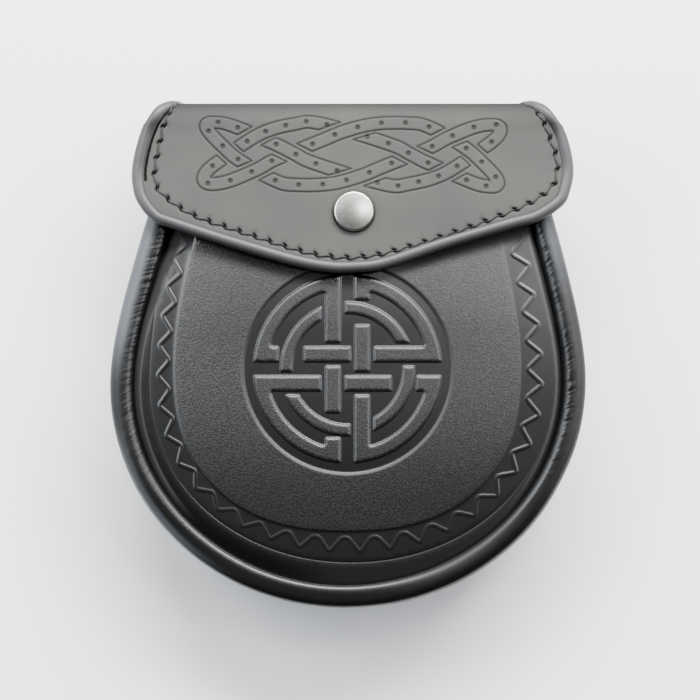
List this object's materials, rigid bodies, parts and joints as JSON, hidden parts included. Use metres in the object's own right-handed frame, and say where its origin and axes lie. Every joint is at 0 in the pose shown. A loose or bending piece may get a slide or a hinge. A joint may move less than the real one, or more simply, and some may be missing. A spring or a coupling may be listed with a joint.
{
  "type": "sporran pouch",
  "caption": "Round leather sporran pouch lying on its back: domed front with a raised knot medallion, piped flap with interlace, snap fastener, side gusset and belt loops.",
  "frame": {"origin": "on the surface that the pouch lies on, under the middle of its outline", "axes": "+X to the right as the front is seen, +Y up the pouch towards the fold, +Z out of the front face"},
  "size_m": [0.1904, 0.2032, 0.0509],
  "materials": {
    "smooth_leather": "smooth black bridle leather with a satin sheen",
    "grained_leather": "black leather with a fine pressed grain, glossier on its smooth border",
    "rolled_leather": "thin black leather, semi-gloss, rolled over a cord and lightly wrinkled",
    "nickel": "satin nickel plate"
  },
  "bodies": {
    "root": {"back_and_flap": "smooth_leather", "front_panel": "grained_leather", "gusset": "rolled_leather", "front_rim": "rolled_leather", "back_piping": "rolled_leather", "flap_piping": "rolled_leather", "snap_cap": "nickel", "snap_stud": "nickel", "belt_loop_left": "smooth_leather", "belt_loop_right": "smooth_leather"}
  },
  "joints": []
}
